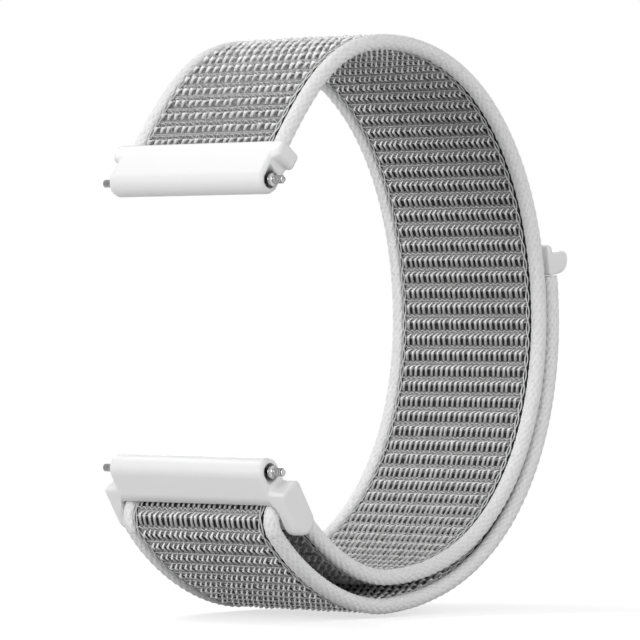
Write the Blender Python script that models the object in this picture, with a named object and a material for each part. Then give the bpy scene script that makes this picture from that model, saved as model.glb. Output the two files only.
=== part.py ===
"""Nylon watch strap: a corded band between two moulded connectors, with quick-release spring bars.

X runs across the strap along the spring bars, Y from the bars to the back of the loop, Z up.
The origin is the middle of the upper spring bar. All lengths are in metres.
"""
import math

import bmesh
import bpy
import numpy as np
from mathutils import Matrix, Vector

# Loop of the strap, as the two bars hold it
BAR_SPACING = 0.0303
LOOP_DEPTH = 0.0449
LOOP_RISE = 0.0151
LOOP_SAG = 0.0117
TOP_REACH_SHARE = 0.443
BOTTOM_REACH_SHARE = 0.4325
BACK_DROP_SHARE = 0.35
HANDLE_SHARES = ((0.45, 0.39), (0.41, 0.41), (0.36, 0.47), (0.29, 0.39))
FIXED_LEAN = math.radians(54.6)
LOOP_LEAN = math.radians(-57.4)
FOLD_LEAN = math.radians(41.0)

# Gap between the watch's lugs, which the whole strap is made to
LUG_WIDTH = 0.0220

# Band: a woven tape with a round cord sewn along each edge
CORD_DIAMETER = 0.00175
CORD_PROUD = 0.000225
TONGUE_THICKNESS = 0.0006
TONGUE_DEPTH = 0.0018
TONGUE_TAPER = 0.0006
FABRIC_GAP = 0.0003
TONGUE_GAP = 0.0002
SPREAD_LENGTH = 0.0150
FLAP_LENGTH = 0.0638
FLEX_BEYOND_TAB = 0.0035
FLEX_GAP = 0.00015
PATH_STEP = 0.0020
FOLD_STEPS = 12

# Hook pad under the folded-back end
PAD_LENGTH = 0.0250
PAD_SIDE_MARGIN = 0.00095
PAD_END_MARGIN = 0.0020
PAD_GAP = 0.000225

# End tab, a moulded cap with a lip for the finger and a thin crown past it
TAB_BASE_THICKNESS = 0.0017
CROWN_LENGTH = 0.00095
CROWN_ROOT_THICKNESS = 0.00095
CROWN_TIP_THICKNESS = 0.00060
LIP_LENGTH = 0.00245
LIP_RISE = 0.00245
LIP_FLAT = 0.00010
LIP_TIP_RADIUS = 0.00075
TAB_EDGE = 0.00030

# Connectors
CONNECTOR_THICKNESS = 0.0030
CONNECTOR_EDGE = 0.00045
FIXED_LENGTH = 0.0041
FIXED_OVERHANG = 0.0010
FIXED_SHOULDER = 0.0021
CROSSBAR_DIAMETER = 0.0019
SLOT_SETBACK = 0.00282
SLOT_EDGE = 0.0008
ARM_GAP = 0.0003
ARM_THICKNESS = 0.0017
ARM_ROOT = 0.00105

# Quick-release spring bars
SEAT_GAP = 0.00005
SHAFT_DIAMETER = 0.0011
SHAFT_LENGTH = 0.0032
SHAFT_CLEARANCE = 0.00007
BARREL_WALL = 0.00018
BARREL_LIP_LENGTH = 0.0004
BAR_CLEARANCE = 0.0001
NECK_DIAMETER = 0.0008
FLANGE_DIAMETER = 0.00144
FLANGE_LENGTH = 0.0005
TIP_DIAMETER = 0.00085
TIP_LENGTH = 0.00135
TIP_CHAMFER = 0.00012
TRAVEL_MARGIN = 0.0002
KNOB_STEM_DIAMETER = 0.0006
KNOB_DIAMETER = 0.0011
KNOB_PROUD = 0.0003
KNOB_CHAMFER = 0.0001
KNOB_FOOT = 0.00010
KNOB_LIFT = 0.00010
KNOB_INSET = 0.0010
KNOB_CLEARANCE = 0.0002
SPRING_WIRE = 0.00016
SPRING_PITCH = 0.00065
SPRING_SEAT_GAP = 0.00010

# Facets and the overrun of every cutter
CUT_OVERRUN = 0.0020
NOSE_STEPS = 10
TURN_STEPS = 20
SPRING_TURN_POINTS = 8
FINE_PARTS = 8
SPAN_POINTS = 61
TAB_ARC_STEPS = 6

# Sizes of the band, worked out from those above
STRAP_WIDTH = LUG_WIDTH
LOOP_DROP = BAR_SPACING + LOOP_SAG
WEAVE_THICKNESS = CORD_DIAMETER - 2 * CORD_PROUD
LAYER_PITCH = CORD_DIAMETER + FABRIC_GAP
CORD_RADIUS = CORD_DIAMETER / 2
CORD_OFFSET = STRAP_WIDTH / 2 - CORD_RADIUS
WEAVE_WIDTH = STRAP_WIDTH - 2 * CORD_DIAMETER - 2 * FABRIC_GAP
PAD_WIDTH = WEAVE_WIDTH - 2 * PAD_SIDE_MARGIN
PAD_THICKNESS = LAYER_PITCH - WEAVE_THICKNESS - 2 * PAD_GAP
TAB_LENGTH = LIP_LENGTH + CROWN_LENGTH
LIP_SWEEP = LIP_LENGTH - LIP_TIP_RADIUS - LIP_FLAT

# Sizes of the connectors
NOSE_RADIUS = CONNECTOR_THICKNESS / 2
FIXED_REAR_WIDTH = STRAP_WIDTH + 2 * FIXED_OVERHANG
LOOP_WIDTH = STRAP_WIDTH + 2 * (ARM_GAP + ARM_THICKNESS)
CROSSBAR_RADIUS = CROSSBAR_DIAMETER / 2
FOLD_RADIUS = CROSSBAR_RADIUS + FABRIC_GAP + CORD_RADIUS
SLOT_RADIUS = FOLD_RADIUS + CORD_RADIUS + FABRIC_GAP
LOOP_REACH = SLOT_SETBACK + SLOT_RADIUS
LOOP_SHOULDER = SLOT_SETBACK - ARM_ROOT

# Sizes of the spring bars, whose tips draw back flush with the connectors' ends
RELEASE_TRAVEL = SEAT_GAP + FLANGE_LENGTH + TIP_LENGTH
BARREL_SETBACK = RELEASE_TRAVEL + TRAVEL_MARGIN
BARREL_BORE = SHAFT_DIAMETER + 2 * SHAFT_CLEARANCE
BARREL_LIP_BORE = NECK_DIAMETER + 2 * SHAFT_CLEARANCE
BARREL_DIAMETER = BARREL_BORE + 2 * BARREL_WALL
BORE_DIAMETER = BARREL_DIAMETER + 2 * BAR_CLEARANCE
SPRING_DIAMETER = SHAFT_DIAMETER
BARREL_HALF = LUG_WIDTH / 2 - BARREL_SETBACK
SHAFT_END = BARREL_HALF - BARREL_LIP_LENGTH - SEAT_GAP
FLANGE_START = LUG_WIDTH / 2 + SEAT_GAP
TIP_END = FLANGE_START + FLANGE_LENGTH + TIP_LENGTH
KNOB_PLACE = SHAFT_END - SHAFT_LENGTH + KNOB_INSET

# Places of the lower bar and the crossbar in the YZ plane
LOWER_BAR = np.array([0.0, -BAR_SPACING])
CROSSBAR = LOWER_BAR + LOOP_REACH * np.array([math.cos(LOOP_LEAN), math.sin(LOOP_LEAN)])


def clear_scene():
    """Remove every object that the file starts with."""
    for obj in list(bpy.data.objects):
        bpy.data.objects.remove(obj, do_unlink=True)


def material(name, colour, roughness, metallic=0.0):
    """Return a Principled material in one colour."""
    mat = bpy.data.materials.new(name)
    mat.use_nodes = True
    shader = mat.node_tree.nodes["Principled BSDF"]
    shader.inputs["Base Color"].default_value = (*colour, 1.0)
    shader.inputs["Roughness"].default_value = roughness
    shader.inputs["Metallic"].default_value = metallic
    return mat


def unit(angle):
    """Return the unit vector at an angle in the YZ plane."""
    return np.array([math.cos(angle), math.sin(angle)])


def bezier(start, start_way, end, end_way, shares, steps):
    """Return points on one span whose handles are shares of its chord."""
    chord = np.linalg.norm(end - start)
    near = start + start_way * chord * shares[0]
    far = end - end_way * chord * shares[1]
    t = np.linspace(0, 1, steps)[:, None]
    return (1 - t) ** 3 * start + 3 * (1 - t) ** 2 * t * near + 3 * (1 - t) * t ** 2 * far + t ** 3 * end


def lengths(path):
    """Return the distance run along a path at each of its points."""
    steps = np.linalg.norm(np.diff(path, axis=0), axis=1)
    return np.concatenate([[0], np.cumsum(steps)])


def stretch(path, start, end, step=PATH_STEP):
    """Return evenly spaced points of a path between two distances along it."""
    run = lengths(path)
    count = max(2, round((end - start) / step) + 1)
    at = np.linspace(start, end, count)
    return np.stack([np.interp(at, run, path[:, axis]) for axis in (0, 1)], axis=1)


def directions(path):
    """Return the unit direction of travel at each point of a path."""
    way = np.gradient(path, axis=0)
    return way / np.linalg.norm(way, axis=1)[:, None]


def beside(path, distance):
    """Return a path moved to its left, which is outwards on the loop, by a distance."""
    way = directions(path)
    left = np.stack([-way[:, 1], way[:, 0]], axis=1)
    return path + left * np.reshape(distance, (-1, 1))


def loop_path():
    """Return the centre line of the band from inside the fixed connector to the fold."""
    knots = [
        FIXED_LENGTH * unit(FIXED_LEAN),
        np.array([TOP_REACH_SHARE * LOOP_DEPTH, LOOP_RISE]),
        np.array([LOOP_DEPTH, -BACK_DROP_SHARE * LOOP_DROP]),
        np.array([BOTTOM_REACH_SHARE * LOOP_DEPTH, -LOOP_DROP]),
        CROSSBAR + FOLD_RADIUS * unit(FOLD_LEAN),
    ]
    ways = [unit(FIXED_LEAN), unit(0), unit(-math.pi / 2), unit(math.pi), unit(FOLD_LEAN + math.pi / 2)]
    spans = [(FIXED_LENGTH - TONGUE_DEPTH) * unit(FIXED_LEAN)[None, :]]
    for index, shares in enumerate(HANDLE_SHARES):
        span = bezier(knots[index], ways[index], knots[index + 1], ways[index + 1], shares, SPAN_POINTS)
        spans.append(span if index == 0 else span[1:])
    return np.vstack(spans)


def flap_path(loop):
    """Return the centre line of the folded-back end, from the fold to inside the end tab."""
    back = stretch(loop[::-1], 0, FLAP_LENGTH + TONGUE_DEPTH, PATH_STEP / FINE_PARTS)
    run = lengths(back)
    spread = 2 * FOLD_RADIUS - LAYER_PITCH
    spacing = LAYER_PITCH + spread / (1 + (run / SPREAD_LENGTH) ** 2)
    outside = beside(back, -spacing)
    return stretch(outside, 0, lengths(outside)[-1])


def mesh_object(name, bm, mat, origin=(0, 0, 0), parent=None):
    """Turn a bmesh into an object whose origin lies at the given point."""
    bmesh.ops.recalc_face_normals(bm, faces=bm.faces)
    data = bpy.data.meshes.new(name)
    bm.to_mesh(data)
    bm.free()
    data.transform(Matrix.Translation(-Vector(origin)))
    obj = bpy.data.objects.new(name, data)
    obj.location = origin
    obj.parent = parent
    bpy.context.scene.collection.objects.link(obj)
    if mat:
        data.materials.append(mat)
    return obj


def prism(name, outline, half_width, mat, origin=(0, 0, 0), parent=None, centre=0):
    """Extrude a closed outline in the YZ plane along X, to both sides of a centre."""
    bm = bmesh.new()
    ring = [bm.verts.new((centre - half_width, y, z)) for y, z in outline]
    face = bm.faces.new(ring)
    made = bmesh.ops.extrude_face_region(bm, geom=[face])
    moved = [item for item in made["geom"] if isinstance(item, bmesh.types.BMVert)]
    bmesh.ops.translate(bm, vec=(2 * half_width, 0, 0), verts=moved)
    return mesh_object(name, bm, mat, origin, parent)


def turned(name, profile, mat, parent=None, closed=False):
    """Turn a profile of (x, radius) points about the X axis."""
    bm = bmesh.new()
    verts = [bm.verts.new((x, 0, radius)) for x, radius in profile]
    edges = [bm.edges.new(pair) for pair in zip(verts, verts[1:])]
    if closed:
        edges.append(bm.edges.new((verts[-1], verts[0])))
    bmesh.ops.spin(bm, geom=verts + edges, cent=(0, 0, 0), axis=(1, 0, 0), angle=2 * math.pi,
                   steps=TURN_STEPS, use_merge=True)
    bmesh.ops.remove_doubles(bm, verts=bm.verts, dist=SEAT_GAP / 10)
    obj = mesh_object(name, bm, mat, parent=parent)
    obj.data.shade_smooth()
    obj.data.set_sharp_from_angle(angle=math.radians(35))
    return obj


def tube(name, points, radius, mat, sides=2, origin=(0, 0, 0), parent=None):
    """Run a round tube with filled ends through points in space."""
    curve = bpy.data.curves.new(name, "CURVE")
    curve.dimensions = "3D"
    curve.bevel_depth = radius
    curve.bevel_resolution = sides
    curve.use_fill_caps = True
    spline = curve.splines.new("POLY")
    spline.points.add(len(points) - 1)
    for point, place in zip(spline.points, points):
        point.co = (*(Vector(place) - Vector(origin)), 1)
    curve.materials.append(mat)
    obj = bpy.data.objects.new(name, curve)
    obj.location = origin
    obj.parent = parent
    bpy.context.scene.collection.objects.link(obj)
    return obj


def empty(name, place, lean=0.0, parent=None):
    """Add an axis empty at a place in the YZ plane, leaning about X."""
    obj = bpy.data.objects.new(name, None)
    obj.empty_display_size = CONNECTOR_THICKNESS
    obj.location = (0, *place)
    obj.rotation_euler = (lean, 0, 0)
    obj.parent = parent
    bpy.context.scene.collection.objects.link(obj)
    return obj


def as_cutter(obj):
    """Hide a cutter from the render and draw it as wire."""
    obj.hide_render = True
    obj.display_type = "WIRE"
    return obj


def block(name, low, high, parent):
    """Add a box cutter between two corners."""
    bm = bmesh.new()
    bmesh.ops.create_cube(bm, size=1)
    size = Vector(high) - Vector(low)
    centre = (Vector(high) + Vector(low)) / 2
    bmesh.ops.scale(bm, vec=size, verts=bm.verts)
    bmesh.ops.translate(bm, vec=centre, verts=bm.verts)
    return as_cutter(mesh_object(name, bm, None, parent=parent))


def cut(obj, cutter):
    """Cut one object out of another with a Boolean modifier."""
    modifier = obj.modifiers.new(cutter.name, "BOOLEAN")
    modifier.operation = "DIFFERENCE"
    modifier.object = cutter


def soften(obj, width, segments=2):
    """Round an object's sharp edges with a Bevel modifier."""
    modifier = obj.modifiers.new("soft_edges", "BEVEL")
    modifier.width = width
    modifier.segments = segments
    modifier.limit_method = "ANGLE"
    modifier.angle_limit = math.radians(40)


def arc(centre, radius, start, end, steps):
    """Return points on an arc, both ends included."""
    return [tuple(np.array(centre) + radius * unit(angle)) for angle in np.linspace(start, end, steps + 1)]


def strip_outline(path, half_thickness):
    """Return the closed outline of a band of given half thickness about a path."""
    outer = beside(path, half_thickness)
    inner = beside(path, -np.array(half_thickness))
    return [*map(tuple, outer), *map(tuple, inner[::-1])]


def tongued(path, at_start):
    """Return half thicknesses along a path that thins to a tongue at one end."""
    run = lengths(path)
    from_end = run if at_start else run[-1] - run
    full = WEAVE_THICKNESS / 2
    thin = TONGUE_THICKNESS / 2
    share = np.clip((from_end - TONGUE_DEPTH - FABRIC_GAP) / TONGUE_TAPER, 0, 1)
    return thin + (full - thin) * share


def tongue_stations(path, at_start):
    """Add the points to a path where its tongue begins to thicken and where it ends doing so."""
    run = lengths(path)
    marks = [TONGUE_DEPTH + FABRIC_GAP, TONGUE_DEPTH + FABRIC_GAP + TONGUE_TAPER]
    if not at_start:
        marks = [run[-1] - mark for mark in marks]
    at = np.sort(np.concatenate([run, marks]))
    keep = np.concatenate([[True], np.diff(at) > TONGUE_TAPER / 4])
    return np.stack([np.interp(at[keep], run, path[:, axis]) for axis in (0, 1)], axis=1)


def weave(name, path, mat, origin, at_start=None):
    """Make a stretch of the woven tape, with a tongue at one end if asked."""
    half = WEAVE_THICKNESS / 2
    if at_start is not None:
        path = tongue_stations(path, at_start)
        half = tongued(path, at_start)
    return prism(name, strip_outline(path, half), WEAVE_WIDTH / 2, mat, (0, *origin))


def cords(stem, path, mat, origin):
    """Run an edge cord along each side of a path."""
    for side, sign in (("left", -1), ("right", 1)):
        points = [(sign * CORD_OFFSET, y, z) for y, z in path]
        tube(f"{stem}_{side}", points, CORD_RADIUS, mat, origin=(0, *origin))


def build_band(loop, flap, cloth, cord):
    """Make the band: upper stretch, lower stretch, fold and folded-back end."""
    whole = lengths(loop)[-1]
    flex_at = whole - FLAP_LENGTH - TAB_LENGTH - FLEX_BEYOND_TAB
    exit_at = TONGUE_DEPTH + FABRIC_GAP
    flex = beside(stretch(loop, flex_at - PATH_STEP, flex_at + PATH_STEP), CORD_RADIUS)[1]
    upper = stretch(loop, 0, flex_at - FLEX_GAP)
    weave("strap_weave_upper", upper, cloth, (0, 0), at_start=True)
    cords("strap_cord_upper", stretch(loop, exit_at, flex_at - FLEX_GAP), cord, (0, 0))
    lower = stretch(loop, flex_at + FLEX_GAP, whole)
    weave("strap_weave_lower", lower, cloth, flex)
    cords("strap_cord_lower", lower, cord, flex)
    margin = FABRIC_GAP / FOLD_RADIUS
    turn = np.array(arc(CROSSBAR, FOLD_RADIUS, FOLD_LEAN + margin, FOLD_LEAN + math.pi - margin, FOLD_STEPS))
    weave("strap_fold_weave", turn, cloth, CROSSBAR)
    cords("strap_fold_cord", turn, cord, CROSSBAR)
    weave("flap_weave", flap, cloth, CROSSBAR, at_start=False)
    cords("flap_cord", stretch(flap, 0, lengths(flap)[-1] - TONGUE_DEPTH - FABRIC_GAP), cord, CROSSBAR)
    return flex


def build_hook_pad(flap, mat):
    """Make the hook pad on the face of the folded-back end that meets the band."""
    end = lengths(flap)[-1] - TONGUE_DEPTH - PAD_END_MARGIN
    centre = stretch(flap, end - PAD_LENGTH, end)
    depth = LAYER_PITCH / 2
    pad = beside(centre, depth)
    prism("hook_pad", strip_outline(pad, PAD_THICKNESS / 2), PAD_WIDTH / 2, mat, (0, *CROSSBAR))


def tab_outline():
    """Return the end tab's side outline, along the band and outwards from it."""
    base = TAB_BASE_THICKNESS / 2
    sweep_centre = (LIP_SWEEP, LIP_RISE - LIP_SWEEP)
    tip_centre = (LIP_LENGTH - LIP_TIP_RADIUS, LIP_RISE - LIP_TIP_RADIUS)
    outline = [(0, -base)]
    outline += arc(sweep_centre, LIP_SWEEP, math.pi, math.pi / 2, TAB_ARC_STEPS)
    outline += arc(tip_centre, LIP_TIP_RADIUS, math.pi / 2, 0, TAB_ARC_STEPS)
    outline.append((LIP_LENGTH, CROWN_ROOT_THICKNESS - base))
    outline.append((TAB_LENGTH, CROWN_TIP_THICKNESS - base))
    outline.append((TAB_LENGTH, -base))
    return outline


def build_end_tab(flap, mat):
    """Cap the folded-back end with the tab whose lip the wearer pulls."""
    run = lengths(flap)[-1]
    place = stretch(flap, run - TONGUE_DEPTH, run)
    way = place[1] - place[0]
    lean = math.atan2(way[1], way[0])
    seat = empty("tab_seat", place[0], lean)
    mirrored = [(u, -v) for u, v in tab_outline()]
    tab = prism("end_tab", mirrored, STRAP_WIDTH / 2, mat, parent=seat)
    soften(tab, TAB_EDGE)
    half = TONGUE_THICKNESS / 2 + TONGUE_GAP
    side = WEAVE_WIDTH / 2 + TONGUE_GAP
    pocket = block("tab_pocket", (-side, -CUT_OVERRUN, -half),
                   (side, TONGUE_DEPTH + TONGUE_GAP, half), seat)
    cut(tab, pocket)


def rounded_plate(length, square_end):
    """Return a connector's side outline: a round nose at the bar, then flat faces."""
    nose = arc((0, 0), NOSE_RADIUS, 1.5 * math.pi, 0.5 * math.pi, NOSE_STEPS)
    if square_end:
        return nose + [(length, NOSE_RADIUS), (length, -NOSE_RADIUS)]
    return nose + arc((length, 0), NOSE_RADIUS, 0.5 * math.pi, -0.5 * math.pi, NOSE_STEPS)


def narrow_sides(body, seat, width, shoulder):
    """Cut the sides back to the lug width in front of the shoulder."""
    for side, sign in (("left", -1), ("right", 1)):
        near = sign * LUG_WIDTH / 2
        far = sign * (width / 2 + CUT_OVERRUN)
        low = (min(near, far), -NOSE_RADIUS - CUT_OVERRUN, -NOSE_RADIUS - CUT_OVERRUN)
        high = (max(near, far), shoulder, NOSE_RADIUS + CUT_OVERRUN)
        cut(body, block(f"{body.name}_{side}_relief", low, high, seat))


def bar_openings(body, seat, skin):
    """Cut the spring bar's bore and the release knob's slot, which opens to the skin side."""
    reach = LUG_WIDTH / 2 + CUT_OVERRUN
    radius = BORE_DIAMETER / 2
    bore = turned(f"{body.name}_bore", [(-reach, 0), (-reach, radius), (reach, radius), (reach, 0)], None, seat)
    cut(body, as_cutter(bore))
    half = KNOB_DIAMETER / 2 + KNOB_CLEARANCE
    depth = skin * (NOSE_RADIUS + CUT_OVERRUN)
    low = (KNOB_PLACE - RELEASE_TRAVEL - half, -half, min(0, depth))
    high = (KNOB_PLACE + half, half, max(0, depth))
    cut(body, block(f"{body.name}_knob_slot", low, high, seat))


def build_fixed_connector(mat):
    """Make the connector that the band's end is fixed in."""
    seat = empty("upper_bar_axis", (0, 0), FIXED_LEAN)
    body = prism("fixed_connector", rounded_plate(FIXED_LENGTH, True), FIXED_REAR_WIDTH / 2, mat, parent=seat)
    narrow_sides(body, seat, FIXED_REAR_WIDTH, FIXED_SHOULDER)
    soften(body, CONNECTOR_EDGE)
    bar_openings(body, seat, -1)
    half = TONGUE_THICKNESS / 2 + TONGUE_GAP
    side = WEAVE_WIDTH / 2 + TONGUE_GAP
    start = FIXED_LENGTH - TONGUE_DEPTH - TONGUE_GAP
    cut(body, block("strap_pocket", (-side, start, -half), (side, FIXED_LENGTH + CUT_OVERRUN, half), seat))
    return seat


def build_loop_connector(mat):
    """Make the connector whose crossbar the band folds round."""
    swivel = empty("crossbar_axis", CROSSBAR, LOOP_LEAN)
    seat = empty("lower_bar_axis", (-LOOP_REACH, 0), parent=swivel)
    body = prism("loop_connector", rounded_plate(LOOP_REACH, False), LOOP_WIDTH / 2, mat, parent=seat)
    narrow_sides(body, seat, LOOP_WIDTH, LOOP_SHOULDER)
    soften(body, CONNECTOR_EDGE)
    slot = slot_cutter(seat)
    cut(body, slot)
    bar_openings(body, seat, 1)
    return seat


def slot_cutter(seat):
    """Make the slot's cutter: a drum round the crossbar, with the crossbar left standing in it."""
    half = STRAP_WIDTH / 2 + ARM_GAP
    edge = SLOT_EDGE
    rim = arc((half - edge, SLOT_RADIUS - edge), edge, 0, math.pi / 2, TAB_ARC_STEPS // 2)
    outer = rim + [(-x, radius) for x, radius in rim[::-1]]
    profile = [(half, CROSSBAR_RADIUS)] + outer + [(-half, CROSSBAR_RADIUS)]
    slot = turned("slot_cutter", profile, None, seat, closed=True)
    slot.location = (0, LOOP_REACH, 0)
    return as_cutter(slot)


def tip_profile(sign):
    """Return the turned outline of a shaft, neck, flange and tip that stand out to one side."""
    shaft = SHAFT_DIAMETER / 2
    neck = NECK_DIAMETER / 2
    flange = FLANGE_DIAMETER / 2
    tip = TIP_DIAMETER / 2
    flange_end = FLANGE_START + FLANGE_LENGTH
    points = [
        (SHAFT_END - SHAFT_LENGTH, 0), (SHAFT_END - SHAFT_LENGTH, shaft), (SHAFT_END, shaft), (SHAFT_END, neck),
        (FLANGE_START, neck), (FLANGE_START, flange), (flange_end, flange), (flange_end, tip),
        (TIP_END - TIP_CHAMFER, tip), (TIP_END, tip - TIP_CHAMFER), (TIP_END, 0),
    ]
    return [(sign * x, radius) for x, radius in points]


def build_barrel(stem, seat, skin, mat):
    """Make the bar's tube, drawn in to a lip at both ends and slotted for the knob's stem."""
    outside = BARREL_DIAMETER / 2
    inside = BARREL_BORE / 2
    lip = BARREL_LIP_BORE / 2
    inner_end = BARREL_HALF - BARREL_LIP_LENGTH
    profile = [
        (-BARREL_HALF, outside), (BARREL_HALF, outside), (BARREL_HALF, lip), (inner_end, lip),
        (inner_end, inside), (-inner_end, inside), (-inner_end, lip), (-BARREL_HALF, lip),
    ]
    barrel = turned(f"{stem}_bar_barrel", profile, mat, seat, closed=True)
    half = KNOB_STEM_DIAMETER / 2 + KNOB_CLEARANCE / 2
    depth = skin * (outside + CUT_OVERRUN)
    low = (KNOB_PLACE - RELEASE_TRAVEL - half, -half, min(0, depth))
    high = (KNOB_PLACE + half, half, max(0, depth))
    cut(barrel, block(f"{stem}_stem_slot", low, high, seat))


def build_knob(stem, seat, skin, mat):
    """Make the release knob: a stem on the plunger's shaft and a round head outside the barrel."""
    bm = bmesh.new()
    foot = SHAFT_DIAMETER / 2 + KNOB_FOOT
    shoulder = BARREL_DIAMETER / 2 + KNOB_LIFT
    head = NOSE_RADIUS + KNOB_PROUD
    stem_radius = KNOB_STEM_DIAMETER / 2
    radius = KNOB_DIAMETER / 2
    profile = [(0, foot), (stem_radius, foot), (stem_radius, shoulder), (radius, shoulder),
               (radius, head - KNOB_CHAMFER), (radius - KNOB_CHAMFER, head), (0, head)]
    verts = [bm.verts.new((across, 0, skin * height)) for across, height in profile]
    edges = [bm.edges.new(pair) for pair in zip(verts, verts[1:])]
    bmesh.ops.spin(bm, geom=verts + edges, cent=(0, 0, 0), axis=(0, 0, 1), angle=2 * math.pi,
                   steps=TURN_STEPS, use_merge=True)
    bmesh.ops.remove_doubles(bm, verts=bm.verts, dist=SEAT_GAP / 10)
    bmesh.ops.translate(bm, vec=(KNOB_PLACE, 0, 0), verts=bm.verts)
    mesh_object(f"{stem}_bar_release_knob", bm, mat, parent=seat)


def build_spring(stem, seat, mat):
    """Wind the bar's coil spring between the fixed tip's shaft and the plunger's shaft."""
    span = 2 * (SHAFT_END - SHAFT_LENGTH - SPRING_SEAT_GAP) - SPRING_WIRE
    turns = math.floor(span / SPRING_PITCH)
    pitch = span / turns
    radius = (SPRING_DIAMETER - SPRING_WIRE) / 2
    count = turns * SPRING_TURN_POINTS + 1
    points = []
    for index in range(count):
        angle = 2 * math.pi * index / SPRING_TURN_POINTS
        along = -span / 2 + pitch * index / SPRING_TURN_POINTS
        points.append((along, radius * math.cos(angle), radius * math.sin(angle)))
    tube(f"{stem}_bar_spring", points, SPRING_WIRE / 2, mat, sides=1, parent=seat)
    wound = np.array(points)
    apart = [np.linalg.norm(wound[SPRING_TURN_POINTS // 2 + index:] - wound[index], axis=1).min()
             for index in range(count - SPRING_TURN_POINTS // 2)]
    print(f"{stem} spring: {turns} turns, least gap to itself {1000 * (min(apart) - SPRING_WIRE):.2f} mm")


def build_spring_bar(stem, seat, skin, steel, spring_steel):
    """Make one quick-release spring bar in its connector's bore."""
    build_barrel(stem, seat, skin, steel)
    turned(f"{stem}_bar_fixed_tip", tip_profile(-1), steel, seat)
    turned(f"{stem}_bar_plunger", tip_profile(1), steel, seat)
    build_knob(stem, seat, skin, steel)
    build_spring(stem, seat, spring_steel)


def main():
    """Build the whole strap."""
    clear_scene()
    plastic = material("moulded_white_plastic", (0.88, 0.88, 0.88), 0.38)
    cloth = material("woven_grey_nylon", (0.30, 0.30, 0.30), 0.85)
    cord = material("white_nylon_cord", (0.72, 0.72, 0.72), 0.80)
    hook = material("white_hook_tape", (0.62, 0.62, 0.62), 0.60)
    steel = material("polished_steel", (0.62, 0.62, 0.63), 0.20, 1.0)
    spring_steel = material("spring_steel", (0.50, 0.50, 0.52), 0.30, 1.0)
    loop = loop_path()
    flap = flap_path(loop)
    flex = build_band(loop, flap, cloth, cord)
    build_hook_pad(flap, hook)
    build_end_tab(flap, plastic)
    upper_seat = build_fixed_connector(plastic)
    lower_seat = build_loop_connector(plastic)
    build_spring_bar("upper", upper_seat, -1, steel, spring_steel)
    build_spring_bar("lower", lower_seat, 1, steel, spring_steel)
    print("flex axis", [round(1000 * value, 3) for value in flex])
    print("crossbar axis", [round(1000 * value, 3) for value in CROSSBAR])
    print("band length", round(1000 * (lengths(loop)[-1] + math.pi * FOLD_RADIUS + lengths(flap)[-1]), 1))


main()
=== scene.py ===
"""Nylon watch strap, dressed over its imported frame: woven band, corded edges, hook pad, mouldings and spring bars."""

import math
from typing import NamedTuple

import bpy
import numpy as np
from bpy.props import FloatProperty, FloatVectorProperty, IntProperty, PointerProperty
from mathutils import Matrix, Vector


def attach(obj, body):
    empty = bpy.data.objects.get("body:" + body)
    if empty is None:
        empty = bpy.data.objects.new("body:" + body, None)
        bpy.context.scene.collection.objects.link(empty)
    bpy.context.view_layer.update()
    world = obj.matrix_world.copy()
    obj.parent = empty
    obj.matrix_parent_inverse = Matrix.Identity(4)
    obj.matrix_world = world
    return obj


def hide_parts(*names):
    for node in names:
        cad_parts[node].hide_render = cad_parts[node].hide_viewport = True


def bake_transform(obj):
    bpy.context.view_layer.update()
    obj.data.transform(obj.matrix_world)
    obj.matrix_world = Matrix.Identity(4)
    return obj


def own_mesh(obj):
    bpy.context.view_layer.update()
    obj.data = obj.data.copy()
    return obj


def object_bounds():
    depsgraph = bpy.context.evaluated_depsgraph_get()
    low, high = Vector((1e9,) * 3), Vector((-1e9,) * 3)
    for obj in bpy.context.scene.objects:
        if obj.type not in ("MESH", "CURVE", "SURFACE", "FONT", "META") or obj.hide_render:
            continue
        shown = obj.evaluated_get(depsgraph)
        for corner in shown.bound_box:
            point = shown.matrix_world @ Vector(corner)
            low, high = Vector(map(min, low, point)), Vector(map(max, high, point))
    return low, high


bl_info = {
    "name": "Nylon watch strap",
    "version": (1, 0, 0),
    "blender": (4, 5, 0),
    "location": "3D View > Sidebar > Strap",
    "description": "Builds the cloth, yarn and finishes of a nylon watch strap on its packed frame",
    "category": "Object",
}

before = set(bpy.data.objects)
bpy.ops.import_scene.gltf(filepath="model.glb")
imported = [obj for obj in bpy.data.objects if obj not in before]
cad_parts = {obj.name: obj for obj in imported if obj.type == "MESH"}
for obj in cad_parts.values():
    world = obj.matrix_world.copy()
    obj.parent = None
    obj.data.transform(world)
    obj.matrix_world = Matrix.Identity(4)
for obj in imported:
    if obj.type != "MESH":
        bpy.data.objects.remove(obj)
CAD_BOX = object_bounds()

MM = 0.001

# The band's route in the YZ plane, in millimetres, as in the solids
BAR_SPACING = 30.3
LOOP_DEPTH = 44.9
LOOP_RISE = 15.1
LOOP_DROP = 42.0
TOP_REACH_SHARE = 0.443
BOTTOM_REACH_SHARE = 0.4325
BACK_DROP_SHARE = 0.35
HANDLE_SHARES = ((0.45, 0.39), (0.41, 0.41), (0.36, 0.47), (0.29, 0.39))
FIXED_LEAN = math.radians(54.6)
LOOP_LEAN = math.radians(-57.4)
FOLD_LEAN = math.radians(41.0)
FIXED_LENGTH = 4.1
LOOP_REACH = 6.12
FOLD_RADIUS = 2.125
LAYER_PITCH = 2.05
SPREAD_LENGTH = 15.0
FLAP_LENGTH = 63.8
TONGUE_DEPTH = 1.8
FLEX_PLACE = (44.02, -2.9)
FINE_STEP = 0.25
SPAN_POINTS = 200
FOLD_POINTS = 60

# Sizes of the band, and a reach to each side of the flex joint, in millimetres
WEAVE_HALF = 9.2
CORD_OFFSET = 10.125
CORD_RADIUS = 0.875
BUTT_GAP = 0.03
FLEX_REACH = 5


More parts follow.
